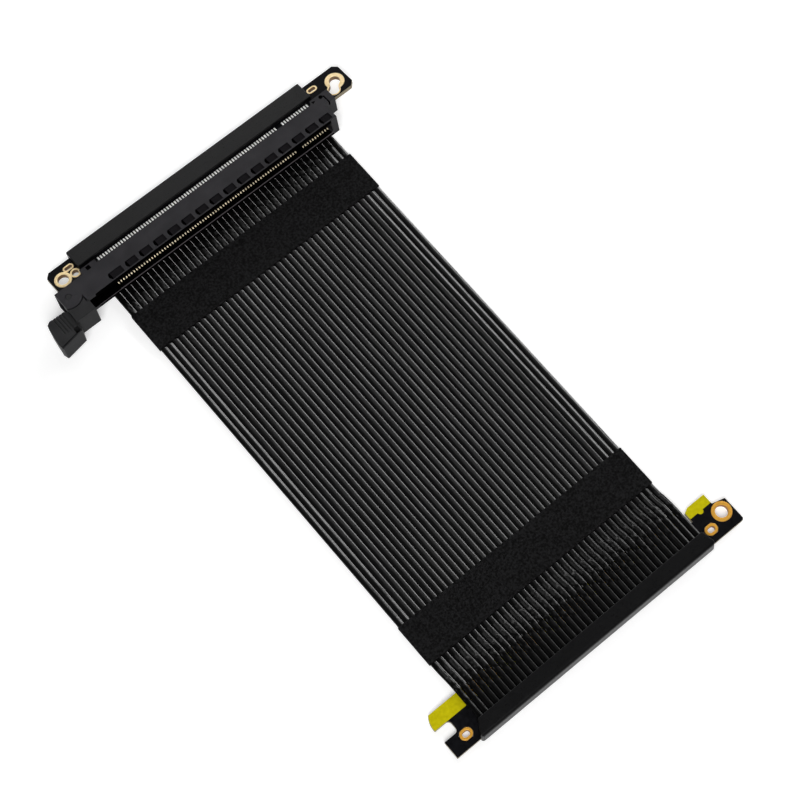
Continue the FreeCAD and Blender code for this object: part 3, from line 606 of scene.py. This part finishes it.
socket_gold = metal_finish(
    "socket_gold", BOARD_AXIS,
    low=screen_colour(232, 204, 148), high=screen_colour(246, 224, 178), barrel_shade=screen_colour(128, 98, 66),
)
socket_heights = (-HALF_RING, HALF_RING)
socket_plating = bmesh.new()
key_hole = Vector((bar_high.x + KEY_PAST_BAR, SCREWS_IN))
key_lobe = key_hole + KEY_LOBE_STEP
key_waist = [(key_hole, key_lobe, KEY_WAIST_RADIUS)]
key_opening = oval(key_hole, KEY_HOLE, KEY_HOLE) + oval(key_lobe, KEY_LOBE, KEY_LOBE) + key_waist
key_ring = oval(key_hole, KEY_RING, KEY_RING) + oval(key_lobe, KEY_LOBE_RING, KEY_LOBE_RING)
plated_hole(socket_plating, socket_heights, (key_hole + key_lobe) / 2, key_opening, key_ring)
latch_hole = Vector((bar_low.x - LATCH_PAST_BAR, SCREWS_IN))
latch_lobe = latch_hole + LATCH_LOBE_STEP
oval_hole(socket_plating, socket_heights, latch_hole, LATCH_HOLE, LATCH_HOLE, LATCH_RIM)
oval_hole(socket_plating, socket_heights, latch_lobe, LATCH_LOBE, LATCH_LOBE, LATCH_LOBE_RIM)
for x in (bar_low.x - SLIM_PAST_BAR, bar_high.x + SLIM_PAST_BAR):
    oval_hole(socket_plating, socket_heights, Vector((x, SLIM_IN)), SLIM_LENGTH, SLIM_WIDTH, SLIM_RIM)
plating_piece(socket_plating, "socket_board_plating", socket_gold, on_slot_board)


# Slot contacts: 82 sprung blades on each face of the board, pressed into the moulding. Only the middles of
# the crests that touch a card are gold, pale spots that are also painted glints; the stems are nickel,
# darkened as painted shade, and the soldered tails are bright tin.
CONTACT_EDGE = 0.0001
CONTACT_PITCH = 0.001
CONTACT_HALF_WIDTH = 0.000275
CREST_HALF_WIDTH = 0.00018
GOLD_FROM = slot_front + 0.0010
GOLD_TO = slot_front + 0.0016
TIN_FROM = slot_front + 0.0089
GOLD_METAL = 0.45
TIN_METAL = 0.25
contact_low, contact_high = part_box("socket_upper_contacts")


def contact_finish():
    """Pale gold on the middle of each crest, a spot that is also a painted glint; nickel darkened as
    painted shade around it; tin at the back.
    """
    material, tree, surface = new_finish("contact_gold_and_tin")
    place = coordinates(tree)
    worn = noise(tree, place["Object"], scale=2500.0, detail=3.0)
    depth = vector_maths(tree, "DOT_PRODUCT", place["Object"], DEPTH_AXIS)
    from_first = maths(tree, "SUBTRACT", split(tree, place["Object"])["X"], contact_low.x)
    across = maths(tree, "MODULO", from_first, CONTACT_PITCH)
    off_middle = maths(tree, "ABSOLUTE", maths(tree, "SUBTRACT", across, CONTACT_HALF_WIDTH))
    in_middle = maths(tree, "LESS_THAN", off_middle, CREST_HALF_WIDTH)
    gold_and_glint = maths(tree, "MULTIPLY", in_middle, maths(tree, "GREATER_THAN", depth, GOLD_FROM))
    is_tin = maths(tree, "GREATER_THAN", depth, TIN_FROM)
    # Painted shade darkens the nickel, and the small pale gold spots are painted glints as well as plating.
    shaded_nickel = screen_colour(34, 28, 20)
    colour = mixed(tree, gold_and_glint, shaded_nickel, screen_colour(255, 240, 205))
    colour = mixed(tree, maths(tree, "GREATER_THAN", depth, GOLD_TO), colour, shaded_nickel)
    less_metal = maths(tree, "MULTIPLY", is_tin, GOLD_METAL - TIN_METAL)
    feed(tree, surface, {
        "Base Color": mixed(tree, is_tin, colour, screen_colour(252, 252, 250)),
        "Roughness": ramp(tree, worn, grey(0.34), grey(0.24)),
        "Metallic": maths(tree, "SUBTRACT", GOLD_METAL, less_metal),
    })
    return material


contact_metal = contact_finish()
for side in ("upper", "lower"):
    finished_copy(f"socket_{side}_contacts", CONTACT_EDGE, contact_metal)


# Slot housing: one moulding of dark grey glass filled plastic, pressed onto the board and the contacts.
# Its mouth runs on past the contacts to the latch. Shade is painted, dark and without shine, on the places
# that little light reaches, with a painted highlight on the lower lip's edge; they are given as (across,
# depth, height) from the middle of the mouth, in millimetres.
HOUSING_EDGE = 0.00005
# Painted shade colours, and a painted highlight for the lower lip's edge.
UNLIT = screen_colour(3, 3, 3)
SHADED = screen_colour(25, 24, 26)
LIT_EDGE = screen_colour(92, 87, 90)
PAINTED_SHADE_AND_LIGHT = {
    "pocket_floors": ((-44.0, 0.4, 3.3), (44.0, 3.1, 3.82), SHADED),
    "crescent_cuts": ((-44.0, 0.4, 2.5), (44.0, 3.1, 3.5), UNLIT),
    "upper_lip": ((-50.2, -0.1, 2.3), (42.6, 0.1, 3.78), UNLIT),
    "lower_lip": ((-50.2, -0.1, -3.9), (42.6, 0.1, -2.3), UNLIT),
    "lower_lip_edge": ((-50.2, -0.1, -2.9), (42.6, 0.1, -2.3), LIT_EDGE),
    "mouth": ((-42.1, -0.1, -2.37), (42.1, 9.3, 2.37), UNLIT),
    "latch_well": ((-57.0, -0.1, -2.62), (-42.0, 8.1, 2.62), UNLIT),
    "triangle_mark": ((42.3, 8.5, 3.3), (43.7, 10.0, 3.82), UNLIT),
    "square_mark": ((-47.2, 8.4, 3.3), (-45.5, 10.1, 3.82), UNLIT),
    "ear_hole": ((45.0, 8.5, 3.3), (46.5, 10.0, 3.82), UNLIT),
    "ear_slit": ((46.4, 5.8, 2.3), (46.95, 9.2, 3.82), UNLIT),
}
SUNK_LOW = (-50.2, -2.35)
SUNK_HIGH = (-42.2, 2.35)
SUNK_DEPTH = 0.007
SQUARE_ON = 0.99
ON_FRONT = 1e-6
ACROSS = Vector((1.0, 0.0, 0.0))
mouth_middle = on_slot_board(((contact_low.x + contact_high.x) / 2, 0.0, 0.0))


def front_faces(shape):
    """The faces that lie in the front plane of the slot."""
    found = []
    for face in shape.faces:
        is_square_on = face.normal.dot(DEPTH_AXIS) < -SQUARE_ON
        if is_square_on and abs(face.verts[0].co.dot(DEPTH_AXIS) - slot_front) < ON_FRONT:
            found.append(face)
    return found


def open_mouth(shape):
    """Sinks the part of the front face between the contacts and the latch well."""
    for x, height in (SUNK_LOW, SUNK_HIGH):
        at = mouth_middle + (ACROSS * x + BOARD_AXIS * height) * MILLIMETRE
        for normal in (ACROSS, BOARD_AXIS):
            faces = front_faces(shape)
            edges = dict.fromkeys(edge for face in faces for edge in face.edges)
            verts = dict.fromkeys(vert for face in faces for vert in face.verts)
            geometry = [*faces, *edges, *verts]
            bmesh.ops.bisect_plane(shape, geom=geometry, plane_co=at, plane_no=normal, dist=MERGE)
    sunk = []
    for face in front_faces(shape):
        offset = (face.calc_center_median() - mouth_middle) / MILLIMETRE
        within_length = SUNK_LOW[0] < offset.x < SUNK_HIGH[0]
        if within_length and SUNK_LOW[1] < offset.dot(BOARD_AXIS) < SUNK_HIGH[1]:
            sunk.append(face)
    made = bmesh.ops.extrude_face_region(shape, geom=sunk)["geom"]
    floor = [part for part in made if isinstance(part, bmesh.types.BMVert)]
    bmesh.ops.translate(shape, verts=floor, vec=DEPTH_AXIS * SUNK_DEPTH)
    bmesh.ops.delete(shape, geom=[face for face in sunk if face.is_valid], context="FACES")


housing_plastic = plastic_finish(
    "housing_plastic", screen_colour(34, 33, 36), screen_colour(44, 43, 46), rough=0.5, shine=0.16,
    origin=mouth_middle, tilt=TILT, painted_boxes=PAINTED_SHADE_AND_LIGHT.values(),
)
finished_copy("socket_housing", HOUSING_EDGE, housing_plastic, reshape=open_mouth)


# Slot moulding: the bar cast over the soldered wire ends behind the slot, in the same black plastic as
# the plug's bar. It grips the board and takes the pull of the ribbon.
finished_copy("socket_overmould", BAR_EDGE, bar_plastic)


# Card latch: one moulding that snaps between the housing's cheeks and swings on two pins. Its hook
# holds a card in the slot, and its ridged pad is pushed outwards to let the card go.
LATCH_EDGE = 0.00012
latch_plastic = plastic_finish(
    "latch_plastic", screen_colour(31, 31, 32), screen_colour(40, 40, 41), rough=0.5, shine=0.15
)
finished_copy("socket_latch", LATCH_EDGE, latch_plastic, "latch")


# Table and studio light: white paper under the cable, a key box above the plug, dimmer boxes behind,
# and a bright strip to the right that draws the lines of light along the wires.
AMBIENT = 0.04
PAPER_HALF_WIDTH = 3.0
PAPER_GLOW = 0.38


def soft_box(name, place, width, height, radiance):
    """A flat lamp of even brightness, aimed at the middle of the cable."""
    lamp = bpy.data.lights.new(name, "AREA")
    lamp.shape = "RECTANGLE"
    lamp.size = width
    lamp.size_y = height
    lamp.energy = radiance * math.pi * width * height
    box = bpy.data.objects.new(name, lamp)
    bpy.context.scene.collection.objects.link(box)
    box.location = place
    box.rotation_euler = (-Vector(place)).to_track_quat("-Z", "Y").to_euler()


soft_box("key_box", (-0.49, -0.585, 1.09), width=0.65, height=0.65, radiance=10.0)
soft_box("side_box", (0.85, 0.36, 0.95), width=0.55, height=0.9, radiance=0.55)
soft_box("back_box", (0.30, 0.85, 1.05), width=0.7, height=0.4, radiance=1.2)
soft_box("low_box", (0.35, 1.15, 0.55), width=0.9, height=0.3, radiance=4.0)
soft_box("strip_box", (1.05, 0.33, 0.50), width=1.2, height=0.3, radiance=7.5)

world = bpy.data.worlds.new("studio")
bpy.context.scene.world = world
world.use_nodes = True
feed(world.node_tree, world.node_tree.nodes["Background"], {"Color": grey(1.0), "Strength": AMBIENT})

table = bmesh.new()
bmesh.ops.create_grid(table, x_segments=1, y_segments=1, size=PAPER_HALF_WIDTH)
table_mesh = bpy.data.meshes.new("table")
table.to_mesh(table_mesh)
table.free()
table_top = bpy.data.objects.new("table", table_mesh)
bpy.context.scene.collection.objects.link(table_top)

white_paper, tree, surface = new_finish("white_paper")
feed(tree, surface, {"Base Color": grey(0.8), "Roughness": 0.9, "Specular IOR Level": 0.1})
rays = add_node(tree, "ShaderNodeLightPath", {}).outputs
seen = maths(tree, "MAXIMUM", rays["Is Camera Ray"], rays["Is Glossy Ray"])
seen = maths(tree, "MAXIMUM", seen, rays["Is Transmission Ray"])
glow = add_node(tree, "ShaderNodeEmission", {"Strength": maths(tree, "MULTIPLY", seen, PAPER_GLOW)})
both = add_node(tree, "ShaderNodeAddShader", {0: surface.outputs["BSDF"], 1: glow.outputs["Emission"]})
feed(tree, tree.nodes["Material Output"], {"Surface": both.outputs["Shader"]})
table_mesh.materials.append(white_paper)
